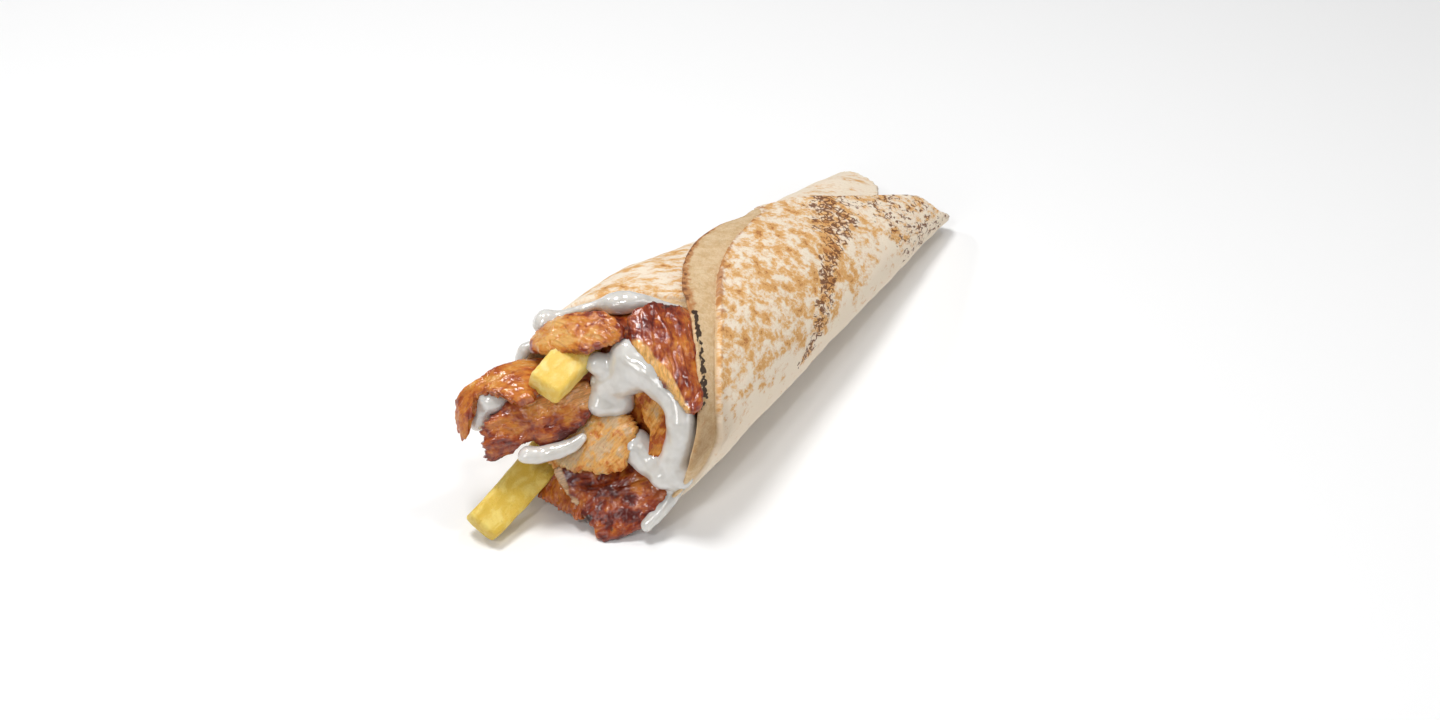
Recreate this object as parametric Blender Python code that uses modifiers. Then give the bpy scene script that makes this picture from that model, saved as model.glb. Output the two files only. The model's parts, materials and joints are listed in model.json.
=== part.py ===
"""Doner kebab sandwich: a toasted flatbread rolled round sliced meat, fries and sauce.

The roll lies along X on the floor with its open mouth towards -X. Sizes are in
millimetres from the middle of the mouth's underside, and become metres when a mesh is
made. Angles round the roll are in degrees: 0 is the top, 90 the side at -Y, 180 the
underside and -90 the side at +Y. At the end every piece moves by ORIGIN, so that the
model stands on the middle of its own base.
"""
import math

import bmesh
import bpy
import numpy as np
from mathutils import Matrix, Vector

MM = 0.001
ORIGIN = (67.7, 2.0, 0.0)

# The roll: a round mouth that narrows to a flattened tail on the floor.
ROLL_LENGTH = 176.0
MOUTH_RADIUS = 33.0
TAIL_HALF_WIDTH = 20.9
TAIL_HALF_HEIGHT = 7.8
TAIL_SHIFT = 1.9
WIDTH_POWER = 1.31
HEIGHT_POWER = 1.23
FLAT_RISE = 0.9

# How far the back of the roll stands out, and the angles over which it starts and ends.
BACK_SWELL = {0: 0.8, 50: 3.4, 85: 2.4, 108: 1.2, 130: 3.6, 176: 3.6}
SWELL_TOP_SPAN = 45.0
SWELL_UNDER_START = -170.0
SWELL_UNDER_SPAN = 70.0

# The bread: one two-ply sheet wound a little more than once round the filling.
SHEET = 2.9
PLY_SHARE = 0.5
TURN_GAP = 0.7
TURN_START = 38.0
TURN_STEP = 9.0
TURN_STEPS = 50
STRIP_ROWS = 3
PLY_STEP = 0.4
BODY_ROWS = 14

# The second turn thins to one ply towards its pointed end.
TIP_START = -378.0
TIP_SPAN = 22.0

# The first turn comes out from under the second past an angle that moves along the roll.
TUCK_ANGLE = -8.0
TUCK_TURN = 52.0
TUCK_TURN_START = 45.0
TUCK_TURN_LENGTH = 40.0
TUCK_SPAN = 75.0

# Edges of the sheet, as angle followed round the roll against distance from the mouth.
INNER_PLY_EDGE = {38: 42, 3: 31, -17: 26, -27: 22, -35: 17, -50: 13, -90: 3, -180: -1, -265: -1,
                  -297: 9.3, -314: 16.5, -342: 31, -360: 40.5, -376: 53.6, -390: 70, -403: 92,
                  -412: 112}
OUTER_PLY_EDGE = {38: 46, 3: 34.5, -17: 29.5, -35: 21, -90: 6, -180: 2, -235: 4, -258: 10, -268: 12.5,
                  -281: 13.5, -291: 15.5, -308: 23, -336: 41, -353: 55, -367: 71, -383: 101,
                  -394: 109, -412: 114}
TAIL_EDGE = {38: 146, 12: 151, -4: 162.5, -14: 165, -24: 165.3, -45: 166, -90: 169, -180: 173,
             -267: 173, -296: 167, -327: 165.7, -347: 150.3, -373: 130, -388: 119, -412: 115.5}

# The meat filling that runs through the roll and bulges out behind the slices.
CORE_START = 9.0
CORE_END = 150.0
CORE_RINGS = 9
CORE_SIDES = 24
CORE_CLEARANCE = 0.5
CORE_DOME = 4.0
BULGE_PEAK = (-5.0, 15.0, 17.0)
BULGE_SHARES = (0.8, 0.55, 0.3)

# The angles between which a second turn lies over the filling.
OVER_START = 100.0
OVER_START_SPAN = 50.0
OVER_END = -150.0
OVER_END_SPAN = 80.0

SLICE_SIDES = 16
SLICE_RINGS = ((0.0, 0.0), (0.55, 0.0), (0.9, 0.06), (1.0, 0.32), (1.0, 0.68), (0.9, 0.94),
               (0.55, 1.0), (0.0, 1.0))

CARVE_GAP = 0.3
WELD = 0.02

BREAD_COLOUR = (0.80, 0.62, 0.42)
MEAT_COLOUR = (0.46, 0.16, 0.05)
PALE_MEAT_COLOUR = (0.70, 0.45, 0.24)
FRY_COLOUR = (0.90, 0.68, 0.20)
SAUCE_COLOUR = (0.86, 0.84, 0.78)


def clear_scene():
    for item in list(bpy.data.objects):
        bpy.data.objects.remove(item, do_unlink=True)


def new_collection(name):
    collection = bpy.data.collections.new(name)
    bpy.context.scene.collection.children.link(collection)
    return collection


def material(name, colour, roughness):
    made = bpy.data.materials.new(name)
    made.use_nodes = True
    shader = made.node_tree.nodes["Principled BSDF"]
    shader.inputs["Base Color"].default_value = (*colour, 1.0)
    shader.inputs["Roughness"].default_value = roughness
    shader.inputs["Metallic"].default_value = 0.0
    return made


def smooth(value):
    """Rise from 0 to 1 with level ends."""
    share = min(max(value, 0.0), 1.0)
    return share * share * (3.0 - 2.0 * share)


def follow(table, place):
    """Read a table between its entries."""
    keys = sorted(table)
    return float(np.interp(place, keys, [table[key] for key in keys]))


def roll_point(x, angle, depth):
    """A point of the roll, a depth in from its outer surface, which swells at the back."""
    share = max(x, 0.0) / ROLL_LENGTH
    around = (angle + 180.0) % 360.0 - 180.0
    swell = (follow(BACK_SWELL, x) * smooth(-around / SWELL_TOP_SPAN)
             * smooth((around - SWELL_UNDER_START) / SWELL_UNDER_SPAN))
    half_width = MOUTH_RADIUS + (TAIL_HALF_WIDTH - MOUTH_RADIUS) * share ** WIDTH_POWER
    half_height = MOUTH_RADIUS + (TAIL_HALF_HEIGHT - MOUTH_RADIUS) * share ** HEIGHT_POWER
    turn = math.radians(angle)
    y = TAIL_SHIFT * share - (half_width + swell - depth) * math.sin(turn)
    z = half_height + (half_height + swell - depth) * math.cos(turn)
    return Vector((x, y, max(z, depth + FLAT_RISE) - FLAT_RISE))


def tuck(angle, x):
    """How far the first turn lies below the second, which comes back over it."""
    leaves_at = TUCK_ANGLE - TUCK_TURN * smooth((x - TUCK_TURN_START) / TUCK_TURN_LENGTH)
    return (SHEET + TURN_GAP) * (1.0 - smooth((leaves_at - angle) / TUCK_SPAN))


def to_object(name, bm, collection, finish):
    bmesh.ops.scale(bm, vec=(MM, MM, MM), verts=bm.verts)
    mesh = bpy.data.meshes.new(name)
    bm.to_mesh(mesh)
    bm.free()
    made = bpy.data.objects.new(name, mesh)
    made.data.materials.append(finish)
    collection.objects.link(made)
    return made


def evaluated_copy(source, name):
    """The object's finished mesh as a plain object in world space."""
    graph = bpy.context.evaluated_depsgraph_get()
    mesh = bpy.data.meshes.new_from_object(source.evaluated_get(graph))
    mesh.transform(source.matrix_world)
    copy = bpy.data.objects.new(name, mesh)
    bpy.context.scene.collection.objects.link(copy)
    return copy


def bread_rows():
    """Each row as its share of the plain strip, the ply step and the body."""
    strip = [(row / STRIP_ROWS, 0.0, 0.0) for row in range(STRIP_ROWS + 1)]
    body = [(1.0, 1.0, row / BODY_ROWS) for row in range(BODY_ROWS + 1)]
    return strip + body


def make_bread(collection, finish):
    rows = bread_rows()
    bm = bmesh.new()
    bmesh.ops.create_grid(bm, x_segments=len(rows) - 1, y_segments=TURN_STEPS, size=0.5)
    layer = bm.verts.layers.deform.verify()
    for vert in bm.verts:
        strip, step, body = rows[round((vert.co.x + 0.5) * (len(rows) - 1))]
        angle = TURN_START - TURN_STEP * round((vert.co.y + 0.5) * TURN_STEPS)
        inner = follow(INNER_PLY_EDGE, angle)
        outer = follow(OUTER_PLY_EDGE, angle)
        tail = follow(TAIL_EDGE, angle)
        start = outer + PLY_STEP * step
        x = inner + (outer - inner) * strip if step == 0.0 else start + (tail - start) * body
        thinned = 1.0 - (1.0 - PLY_SHARE) * smooth((TIP_START - angle) / TIP_SPAN)
        vert[layer][0] = thinned if step else PLY_SHARE
        vert.co = roll_point(x, angle, SHEET + tuck(angle, x))
    bread = to_object("bread", bm, collection, finish)
    plies = bread.vertex_groups.new(name="plies")
    thicken = bread.modifiers.new("plies", "SOLIDIFY")
    thicken.thickness = SHEET * MM
    thicken.offset = 1.0
    thicken.vertex_group = plies.name
    return bread


def closed_curve(points, samples):
    """Points evenly spread along a smooth closed curve through a short outline."""
    outline = np.array(points, float)
    count = len(outline)
    fine = []
    for index in range(count):
        before, start, end, after = (outline[(index + step) % count] for step in (-1, 0, 1, 2))
        for share in np.linspace(0.0, 1.0, 12, endpoint=False):
            fine.append(0.5 * (2.0 * start + (end - before) * share
                               + (2.0 * before - 5.0 * start + 4.0 * end - after) * share ** 2
                               + (3.0 * start - before - 3.0 * end + after) * share ** 3))
    fine = np.array(fine + [fine[0]])
    lengths = np.concatenate([[0.0], np.cumsum(np.linalg.norm(np.diff(fine, axis=0), axis=1))])
    wanted = np.linspace(0.0, lengths[-1], samples, endpoint=False)
    return np.column_stack([np.interp(wanted, lengths, fine[:, axis]) for axis in (0, 1)])


def facing_matrix(at, facing):
    """Local X runs level, local Y up the face and local Z out of it."""
    out = Vector(facing).normalized()
    level = Vector((0.0, 0.0, 1.0)).cross(out).normalized()
    rise = out.cross(level)
    turn = Matrix((level, rise, out)).transposed().to_4x4()
    return Matrix.Translation(Vector(at) * MM) @ turn


def loft(bm, loops):
    """Join closed loops in turn, where a loop of one point closes an end."""
    rings = [[bm.verts.new(point) for point in loop] for loop in loops]
    for first, second in zip(rings, rings[1:]):
        count = max(len(first), len(second))
        for index in range(count):
            after = (index + 1) % count
            if len(first) == 1:
                bm.faces.new((first[0], second[index], second[after]))
            elif len(second) == 1:
                bm.faces.new((first[index], second[0], first[after]))
            else:
                bm.faces.new((first[index], second[index], second[after], first[after]))
    bmesh.ops.recalc_face_normals(bm, faces=bm.faces)


def make_slice(name, collection, finish, outline, at, facing, thickness, curve, middle=None):
    """A cut slice of meat: an outline seen from its facing side, bent over two curvatures."""
    edge = closed_curve(outline, SLICE_SIDES)
    middle = np.array(edge.mean(axis=0) if middle is None else middle)
    loops = []
    for size, depth in SLICE_RINGS:
        ring = middle + (edge - middle) * size if size else middle[None, :]
        loops.append([(u, v, -0.5 * (curve[0] * u * u + curve[1] * v * v) - depth * thickness)
                      for u, v in ring])
    bm = bmesh.new()
    loft(bm, loops)
    made = to_object(name, bm, collection, finish)
    made.matrix_world = facing_matrix(at, facing)
    return made


SLICES = {
    "slice_top_left": dict(
        outline=((-10, -12.5), (-11.5, -6), (-8.5, -0.5), (-3.5, 5), (1.5, 9.5), (7, 11.5),
                 (11.5, 10.5), (12, 6.5), (11, 3.5), (8.5, -1), (3, -6), (-2, -10)),
        at=(2.6, 13.6, 57.5), facing=(-0.50, 0.20, 0.84), thickness=3.6, curve=(1 / 26, 1 / 60)),
    "slice_top_right": dict(
        outline=((-7.5, 9), (-3, 15), (6, 14), (15, 9), (10, 0), (5, -9), (-0.5, -19.5),
                 (-4.5, -19), (-6, -12), (-7.5, -3), (-8, 4)),
        at=(14, -14, 55.6), facing=(-0.15, -0.45, 0.88), thickness=5.0, curve=(1 / 26, 0.0)),
    "slice_far_left": dict(
        middle=(-0.5, -3),
        outline=((1, 18), (0, 10), (-1, 3.5), (-2.5, -2), (-3.5, -6), (-4.5, -11.5),
                 (-2, -15.5), (2.5, -15.5), (3.5, -12.5), (2, -8.5), (2.5, -4.5), (8, -1.5),
                 (15, 2), (12, 12), (4, 19)),
        at=(-16, 30, 45), facing=(-0.35, 0.10, 0.93), thickness=3.0, curve=(1 / 60, 1 / 14)),
    "slice_front": dict(
        outline=((-6, 8.5), (-10.5, 5.5), (-15, 2), (-16, -4), (-14.5, -9.5), (-7.5, -7.5),
                 (-3, -4.5), (4, -6), (10, -4), (15.5, 0.5), (18, 8), (16, 12), (7, 9)),
        at=(-16, 13, 33), facing=(-0.66, -0.60, 0.45), thickness=4.0, curve=(1 / 200, 1 / 26)),
    "slice_inner_right": dict(
        outline=((-5, 9), (-1, 6.5), (3.5, 4), (7, 1), (8, -3.5), (9.5, -7), (9.5, -12),
                 (6.5, -14), (3, -13.5), (3.5, -9), (1, -4), (-1, 1), (-3.5, 4.5)),
        at=(4.4, -11.1, 37.6), facing=(-0.80, -0.30, 0.50), thickness=3.0, curve=(0.0, 0.0)),
    "slice_middle": dict(
        outline=((-13, -9), (-7.5, -10), (0, -8.5), (9, -6.5), (11.5, -2), (11, 9), (3.5, 12),
                 (-4.5, 7.5), (-11, -2.5)),
        at=(-7, 0, 27), facing=(-0.72, -0.10, 0.69), thickness=4.0, curve=(1 / 60, 1 / 60)),
    "slice_bottom": dict(
        outline=((-15.5, 7), (-10, 10), (1, 11), (12, 10.5), (19.5, 4.5), (17.5, -3),
                 (12, -8.5), (2.5, -13.5), (-2, -10.5), (-6, -5.5), (-11, 0)),
        at=(-9.6, -5.4, 11), facing=(-0.62, -0.30, 0.72), thickness=5.0, curve=(-1 / 60, 1 / 60)),
    "slice_bottom_left": dict(
        outline=((-14, 2.5), (-10, -1), (-5, -3.5), (5, -4), (13.5, -3.5), (13.5, 2.5), (5, 4.5),
                 (-3.5, 6.5)),
        at=(-13, 12, 8), facing=(-0.80, 0.10, 0.59), thickness=3.5, curve=(0.0, 1 / 60)),
}

PALE_SLICES = ("slice_middle", "slice_inner_right")

# A fry: the middles of its two ends, the way its broad side faces, width and thickness.
FRIES = {
    "fry_upper": dict(start=(12, 13.2, 50.2), end=(-12.6, 12.2, 45.6), facing=(-0.25, -0.35, 0.88),
                      width=12.0, thickness=9.6),
    "fry_lower": dict(start=(4, 17.6, 15.8), end=(-36.5, 19.6, 5.2), facing=(-0.25, -0.55, 0.80),
                      width=12.0, thickness=8.5),
}
FRY_CUTS = 3
FRY_ROUND = 1.3
FRY_TAPER = 0.12
FRY_BOW = 0.6

# Sauce: round blobs that melt together, each a middle and a radius.
SAUCES = {
    "sauce_middle": ((3.2, 4.4, 48.3, 3.4), (8.9, -3, 51, 5.5), (9.4, -10, 48, 6),
                     (9.5, -16.5, 44.5, 5.4), (8, -21.5, 42, 4), (7, -2.5, 44, 6),
                     (4.3, 2.6, 40.6, 4.4), (5.3, -1.1, 34.7, 5), (0.8, 2.5, 35.4, 3.6),
                     (6, -23.5, 38, 4.6), (5.3, -24, 32, 4.8), (3.4, -23.4, 25.7, 4.7),
                     (0.4, -21, 20.1, 4.7), (1.5, -9.8, 24.5, 5.2), (1.5, -15, 21, 4.4),
                     (1.5, -26.5, 20.5, 3.4), (2.2, -24.8, 17.3, 2.9), (3, -23.1, 14.6, 2.6),
                     (1, -23.3, 12.6, 2.4), (-1.2, -23, 10.7, 2.3), (-3.5, -22.4, 8.9, 2.2),
                     (-5.8, -21.4, 7.2, 2.1), (-8, -20.3, 5.6, 1.9)),
    "sauce_left": ((-17.4, 27.8, 37.8, 4.6), (-14.2, 25.9, 35.6, 3.6), (-19.2, 30, 32.4, 3.6),
                   (-20.8, 31.3, 29.4, 2.4)),
}

# A run of sauce: a path of the same, filled in until it is one even bead.
SAUCE_RUNS = {
    "sauce_front": ((-20.8, 13.4, 25.8, 2.7), (-17.8, 10.2, 25.2, 2.5), (-14.4, 6.7, 26, 2.4),
                    (-11, 3.4, 27.4, 2), (-8, 1.9, 29.2, 1.3)),
}
RUN_STEP = 0.6
RUN_THINNING = 0.87
RIM_SAUCE = {-83: (0.6, 1.4), -76: (0.8, 2.0), -71: (2.4, 1.1), -65: (3.0, 0.9), -59: (1.8, 2.0),
             -54: (1.0, 3.4), -49: (2.4, 1.8), -43: (3.2, 1.3), -36: (3.8, 1.2), -31: (4.0, 1.3),
             -26: (4.4, 2.0), -21: (4.0, 3.1), -14: (3.6, 3.5), -8: (3.4, 2.7), -2: (4.0, 1.8),
             5: (4.6, 1.3), 12: (4.8, 1.0)}
RIM_AHEAD = 1.4
SAUCE_GRAIN = 1.1
SAUCE_FACES = {"sauce_middle": 900, "sauce_rim": 420, "sauce_left": 160, "sauce_front": 200}
BLOB_REACH = 1.0 / 0.575


def make_fry(name, collection, finish, start, end, facing, width, thickness):
    """A bar of potato with rounded edges, a little narrower at its free end."""
    start, end = Vector(start), Vector(end)
    along = (end - start).normalized()
    across = Vector(facing).cross(along).normalized()
    turn = Matrix((along, across, along.cross(across))).transposed().to_4x4()
    bm = bmesh.new()
    bmesh.ops.create_cube(bm, size=1.0)
    length = [edge for edge in bm.edges if abs(edge.verts[0].co.x - edge.verts[1].co.x) > 0.5]
    bmesh.ops.subdivide_edges(bm, edges=length, cuts=FRY_CUTS)
    for vert in bm.verts:
        share = vert.co.x + 0.5
        bow = FRY_BOW * math.sin(math.pi * share)
        shrink = 1.0 - FRY_TAPER * share
        vert.co = (vert.co.x * (end - start).length, vert.co.y * width * shrink + bow,
                   vert.co.z * thickness * shrink)
    made = to_object(name, bm, collection, finish)
    made.matrix_world = Matrix.Translation((start + end) * 0.5 * MM) @ turn
    rounding = made.modifiers.new("rounding", "BEVEL")
    rounding.width = FRY_ROUND * MM
    rounding.segments = 2
    return made


def rim_run():
    """The path of the sauce along the bread's upper rim, just ahead of its edge."""
    path = []
    for angle, (depth, radius) in RIM_SAUCE.items():
        place = roll_point(follow(INNER_PLY_EDGE, angle) - RIM_AHEAD * radius, angle, depth)
        path.append((*place, radius))
    return path


def filled_run(path):
    """Blobs close enough along a path to melt into one even bead."""
    stations = np.array(path, float)
    blobs = [stations[0]]
    for start, end in zip(stations, stations[1:]):
        length = np.linalg.norm(end[:3] - start[:3])
        steps = math.ceil(length / (RUN_STEP * min(start[3], end[3])))
        blobs += [start + (end - start) * (step + 1) / steps for step in range(steps)]
    return [(x, y, z, radius * RUN_THINNING) for x, y, z, radius in blobs]


def make_sauce(name, collection, finish, blobs, faces):
    """Blobs of sauce run together into one smooth mass."""
    mass = bpy.data.metaballs.new(name)
    mass.resolution = SAUCE_GRAIN
    mass.render_resolution = SAUCE_GRAIN
    for x, y, z, radius in blobs:
        blob = mass.elements.new(type="BALL")
        blob.co = (x, y, z)
        blob.radius = radius * BLOB_REACH
    wet = bpy.data.objects.new(name, mass)
    bpy.context.scene.collection.objects.link(wet)
    smooth_form = evaluated_copy(wet, name + "_form")
    bpy.data.objects.remove(wet, do_unlink=True)
    thin = smooth_form.modifiers.new("thin", "DECIMATE")
    thin.ratio = min(1.0, faces / count_triangles(smooth_form))
    mesh = evaluated_copy(smooth_form, name + "_thin")
    bpy.data.objects.remove(smooth_form, do_unlink=True)
    bm = bmesh.new()
    bm.from_mesh(mesh.data)
    bpy.data.objects.remove(mesh, do_unlink=True)
    return to_object(name, bm, collection, finish)


def count_triangles(source):
    return sum(len(face.vertices) - 2 for face in source.data.polygons)


def largest_piece(bm):
    """Drop every loose scrap and keep the piece with the most faces."""
    waiting = set(bm.faces)
    pieces = []
    while waiting:
        front = [waiting.pop()]
        piece = set(front)
        while front:
            face = front.pop()
            for edge in face.edges:
                for other in edge.link_faces:
                    if other in waiting:
                        waiting.remove(other)
                        piece.add(other)
                        front.append(other)
        pieces.append(piece)
    keep = max(pieces, key=len)
    loose = [face for face in bm.faces if face not in keep]
    bmesh.ops.delete(bm, geom=loose, context="FACES")
    bmesh.ops.delete(bm, geom=[vert for vert in bm.verts if not vert.link_faces], context="VERTS")


def grown_copy(source, cutters):
    """A copy of a piece that stands out all round by the gap kept between pieces."""
    copy = evaluated_copy(source, source.name + "_grown")
    bpy.context.scene.collection.objects.unlink(copy)
    cutters.objects.link(copy)
    normals = [vert.normal.copy() for vert in copy.data.vertices]
    for vert, normal in zip(copy.data.vertices, normals):
        vert.co += normal * CARVE_GAP * MM
    copy.hide_render = True
    copy.display_type = "WIRE"
    return copy


def fit_round(target, neighbours):
    """Cut a piece back where its neighbours lie, and keep it clear of the floor."""
    for neighbour in neighbours:
        cut = target.modifiers.new(neighbour.name, "BOOLEAN")
        cut.operation = "DIFFERENCE"
        cut.solver = "MANIFOLD"
        cut.object = neighbour
    graph = bpy.context.evaluated_depsgraph_get()
    mesh = bpy.data.meshes.new_from_object(target.evaluated_get(graph))
    target.modifiers.clear()
    place = target.matrix_world.copy()
    bm = bmesh.new()
    bm.from_mesh(mesh)
    bmesh.ops.remove_doubles(bm, verts=bm.verts, dist=WELD * MM)
    largest_piece(bm)
    for vert in bm.verts:
        world = place @ vert.co
        if world.z < 0.0:
            vert.co = place.inverted() @ Vector((world.x, world.y, 0.0))
    bm.to_mesh(target.data)
    bm.free()
    bpy.data.meshes.remove(mesh)


def core_ring(x):
    """The inside of the bread at one place along the roll."""
    ring = []
    for side in range(CORE_SIDES):
        angle = 180.0 - 360.0 * side / CORE_SIDES
        over = (smooth((OVER_START - angle) / OVER_START_SPAN)
                * smooth((angle - OVER_END) / OVER_END_SPAN))
        ring.append(roll_point(x, angle, SHEET + CORE_CLEARANCE + (SHEET + TURN_GAP) * over))
    return ring


def make_core(collection, finish):
    """The packed meat: it follows the inside of the bread and bulges out of the mouth."""
    peak = Vector(BULGE_PEAK)
    mouth = core_ring(CORE_START)
    loops = [[peak]]
    for share in BULGE_SHARES:
        ring = [point.lerp(peak, share) for point in mouth]
        for point in ring:
            point.x = CORE_START + (peak.x - CORE_START) * smooth(share) ** 2
        loops.append(ring)
    for ring in range(CORE_RINGS):
        loops.append(core_ring(CORE_START + (CORE_END - CORE_START) * ring / (CORE_RINGS - 1)))
    last = Vector(np.mean([tuple(point) for point in loops[-1]], axis=0))
    loops.append([last + Vector((CORE_DOME, 0.0, 0.0))])
    bm = bmesh.new()
    loft(bm, loops)
    return to_object("meat_filling", bm, collection, finish)


def build():
    clear_scene()
    kebab = new_collection("doner_kebab_sandwich")
    cutters = new_collection("cutters")
    bread_finish = material("bread", BREAD_COLOUR, 0.85)
    meat_finish = material("meat", MEAT_COLOUR, 0.40)
    pale_finish = material("pale_meat", PALE_MEAT_COLOUR, 0.55)
    fry_finish = material("fries", FRY_COLOUR, 0.70)
    sauce_finish = material("sauce", SAUCE_COLOUR, 0.25)
    fitted = [grown_copy(make_bread(kebab, bread_finish), cutters)]
    pieces = [make_fry(name, kebab, fry_finish, **shape) for name, shape in FRIES.items()]
    for name, shape in SLICES.items():
        finish = pale_finish if name in PALE_SLICES else meat_finish
        pieces.append(make_slice(name, kebab, finish, **shape))
    runs = SAUCE_RUNS | {"sauce_rim": rim_run()}
    for name, blobs in (SAUCES | {name: filled_run(path) for name, path in runs.items()}).items():
        pieces.append(make_sauce(name, kebab, sauce_finish, blobs, SAUCE_FACES[name]))
    pieces.append(make_core(kebab, meat_finish))
    for piece in pieces:
        fit_round(piece, fitted)
        fitted.append(grown_copy(piece, cutters))
    for cutter in fitted:
        bpy.data.objects.remove(cutter, do_unlink=True)
    for piece in kebab.objects:
        piece.matrix_world = Matrix.Translation(Vector(ORIGIN) * -MM) @ piece.matrix_world


build()
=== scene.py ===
"""The looks of the doner kebab sandwich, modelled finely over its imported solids.

Shapes are worked out in millimetres from the middle of the mouth's underside, with the
roll along X and its open mouth towards -X, and are moved by ORIGIN into the frame of the
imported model, in metres. Angles round the roll are in degrees: 0 is the top, 90 the side
at -Y, 180 the underside and -90 the side at +Y. The sheet of bread is wound from
TURN_START downwards, so its second turn is read at an angle plus 360.
"""

import json
import math

import bmesh
import bpy
import numpy as np
from mathutils import Matrix, Vector, noise


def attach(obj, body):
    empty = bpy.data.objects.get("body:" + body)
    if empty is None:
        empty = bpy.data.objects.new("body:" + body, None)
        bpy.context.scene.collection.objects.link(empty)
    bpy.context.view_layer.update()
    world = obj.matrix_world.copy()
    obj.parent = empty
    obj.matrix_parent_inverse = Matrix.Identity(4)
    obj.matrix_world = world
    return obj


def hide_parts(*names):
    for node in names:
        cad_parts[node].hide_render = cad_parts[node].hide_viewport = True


MM = 0.001
ORIGIN = (67.7, 2.0, 0.0)

# The roll, as in the solids.
ROLL_LENGTH = 176.0
MOUTH_RADIUS = 33.0
TAIL_HALF_WIDTH = 20.9
TAIL_HALF_HEIGHT = 7.8
TAIL_SHIFT = 1.9
WIDTH_POWER = 1.31
HEIGHT_POWER = 1.23
FLAT_RISE = 0.9
BACK_SWELL = {0: 0.8, 50: 3.4, 85: 2.4, 108: 1.2, 130: 3.6, 176: 3.6}
SWELL_TOP_SPAN = 45.0
SWELL_UNDER_START = -170.0
SWELL_UNDER_SPAN = 70.0

# The sheet of bread.
SHEET = 2.9
PLY_SHARE = 0.5
TURN_GAP = 0.7
TURN_START = 38.0
TURN_END = -412.0
TIP_START = -378.0
TIP_SPAN = 22.0
TUCK_ANGLE = -8.0
TUCK_TURN = 52.0
TUCK_TURN_START = 45.0
TUCK_TURN_LENGTH = 40.0
TUCK_SPAN = 75.0
INNER_PLY_EDGE = {
    38: 42, 3: 31, -17: 26, -27: 22, -35: 17, -50: 13, -90: 3, -180: -1, -265: -1, -297: 9.3,
    -314: 16.5, -342: 31, -360: 40.5, -376: 53.6, -390: 70, -403: 92, -412: 112}
OUTER_PLY_EDGE = {
    38: 46, 3: 34.5, -17: 29.5, -35: 21, -90: 6, -180: 2, -235: 4, -258: 10, -268: 12.5,
    -281: 13.5, -291: 15.5, -308: 23, -336: 41, -353: 55, -367: 71, -383: 101, -394: 109, -412: 114}
TAIL_EDGE = {
    38: 146, 12: 151, -4: 162.5, -14: 165, -24: 165.3, -45: 166, -90: 169, -180: 173, -267: 173,
    -296: 167, -327: 165.7, -347: 150.3, -373: 130, -388: 119, -412: 115.5}

# The fine mesh of the bread.
TURN_COLUMNS = 232
STRIP_ROWS = 26
STRIP_EASE = 1.5
STEP_ROWS = 5
STEP_WIDTH = 1.3
STEP_MARGIN = 0.2
BODY_ROWS = 152
BODY_EASE = 1.12
RIM_ROUND = 1.1
RIM_LEAST = 0.004
EDGE_BLUR = 7.0
EDGE_BLUR_STEPS = 7
EDGE_STRETCH = 0.45
STRIP_LEAST = 0.5
SECOND_TURN_START = -255.0
SECOND_TURN_SPAN = 15.0
UNROLL_START = -300.0
UNROLL_POWER = 1.27

# The filling behind the slices.
CORE_START = 9.0
CORE_END = 150.0
CORE_CLEARANCE = 0.5
CORE_DOME = 4.0
BULGE_PEAK = (-5.0, 15.0, 17.0)
OVER_START = 100.0
OVER_START_SPAN = 50.0
OVER_END = -150.0
OVER_END_SPAN = 80.0

# The camera, found by fitting the roll's outline to the photograph.
CAMERA_AZIMUTH = -56.0
CAMERA_ELEVATION = 40.0
CAMERA_DISTANCE = 750.0
CAMERA_TARGET = (50.48, -6.92, 22.0)
CAMERA_LENS = 60.92
CAMERA_SENSOR = 36.0

# The studio: each lamp's place and size in metres and its power in watts. The small ones
# make the wet surfaces sparkle.
LAMPS = {
    "key": ((-0.10, 0.16, 0.85), 0.22, 4.1),
    "left": ((-0.80, -0.10, 0.40), 0.25, 0.7),
    "front": ((0.05, -0.80, 0.45), 0.50, 1.5),
    "spark_0": ((-0.12, 0.62, 0.58), 0.07, 1.0),
    "spark_1": ((-0.55, -0.10, 0.62), 0.07, 1.0),
    "spark_2": ((0.22, -0.20, 0.78), 0.07, 1.0),
}
LAMP_AIM = (0.0, 0.0, 0.03)
SKY_STRENGTH = 0.23
FLOOR_SHADE = 0.90
FLOOR_REACH = 3000.0
FLOOR_DROP = 0.2

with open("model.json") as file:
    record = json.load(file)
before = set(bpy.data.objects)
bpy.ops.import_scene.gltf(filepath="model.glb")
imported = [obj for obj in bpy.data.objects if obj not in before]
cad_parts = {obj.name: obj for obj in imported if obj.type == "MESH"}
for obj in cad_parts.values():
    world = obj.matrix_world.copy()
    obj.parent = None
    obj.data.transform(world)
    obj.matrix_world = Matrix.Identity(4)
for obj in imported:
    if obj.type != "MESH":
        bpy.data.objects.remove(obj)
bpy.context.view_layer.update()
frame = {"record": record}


def smooth(value):
    """Rise from 0 to 1 with level ends."""
    share = np.clip(value, 0.0, 1.0)
    return share * share * (3.0 - 2.0 * share)


def follow(table, place):
    """Read a table between its entries."""
    keys = sorted(table)
    return np.interp(place, keys, [table[key] for key in keys])


def follow_softly(table, angle):
    """Read a table with its corners rounded off."""
    offsets = np.linspace(-EDGE_BLUR, EDGE_BLUR, EDGE_BLUR_STEPS)
    return np.mean([follow(table, angle + offset) for offset in offsets], axis=0)


def hump(value, middle, width):
    """A smooth bump of height 1."""
    return np.exp(-((value - middle) / width) ** 2)


def ridge(value, height, middle, width):
    """A smooth bump of a given height, or a dent where the height is negative."""
    return height * hump(value, middle, width)


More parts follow.
